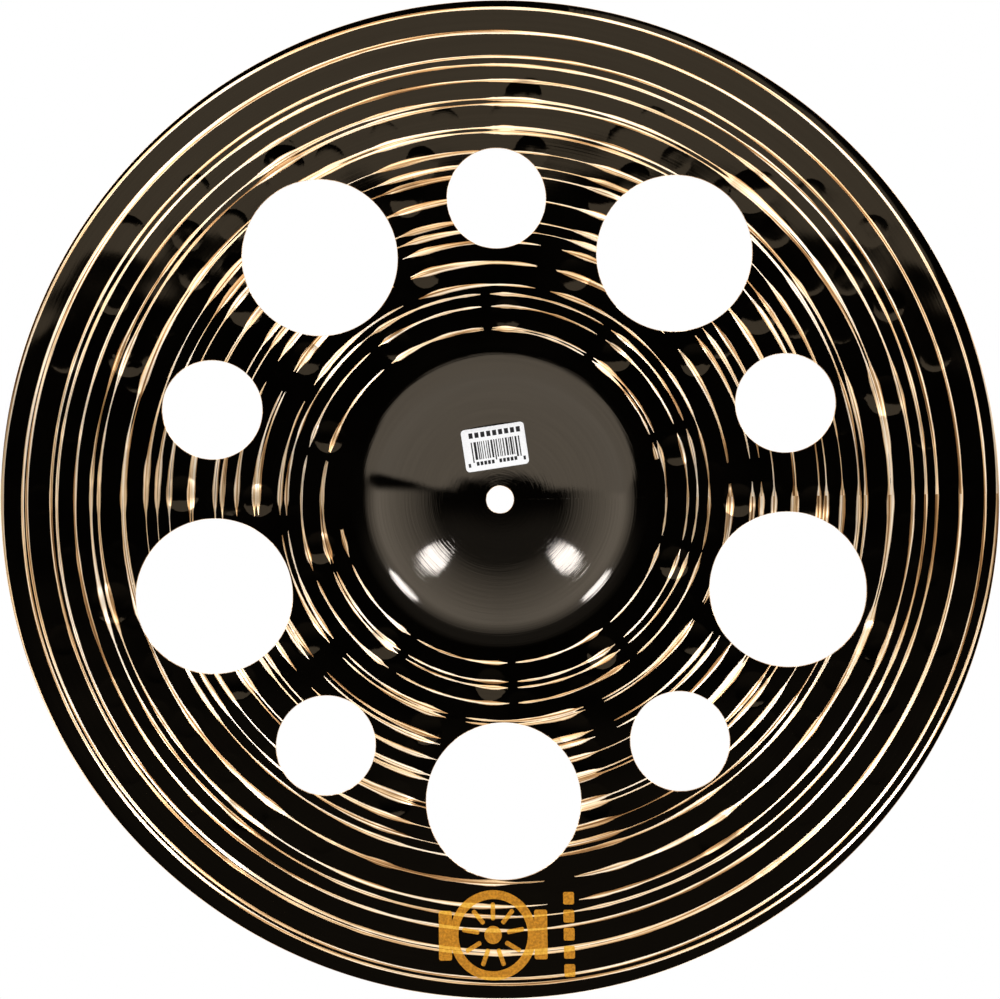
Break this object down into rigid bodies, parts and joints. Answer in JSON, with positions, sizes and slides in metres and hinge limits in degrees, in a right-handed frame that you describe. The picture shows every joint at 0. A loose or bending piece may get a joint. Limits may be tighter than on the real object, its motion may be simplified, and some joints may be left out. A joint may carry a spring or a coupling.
{
  "type": "crash cymbal",
  "caption": "Round hammered bronze crash cymbal with a domed bell, a plain centre hole for a stand, and large and small round holes through the bow.",
  "frame": {"origin": "on the axis of the stand hole, in the plane that the rim rests on", "axes": "+Z along the stand hole's axis, out of the top of the bell; -Y towards the large hole beside the printed emblem; +X completes a right-handed frame"},
  "size_m": [0.4572, 0.4572, 0.0504],
  "materials": {
    "plate": "cast bronze, hammered, with a glossy black coat that turned grooves cut through to the bare metal",
    "label": "white self-adhesive label with printed bars",
    "ink": "orange-gold screen-print ink"
  },
  "bodies": {
    "root": {"cymbal_plate": "plate", "barcode_label": "label", "printed_emblem": "ink"}
  },
  "joints": []
}
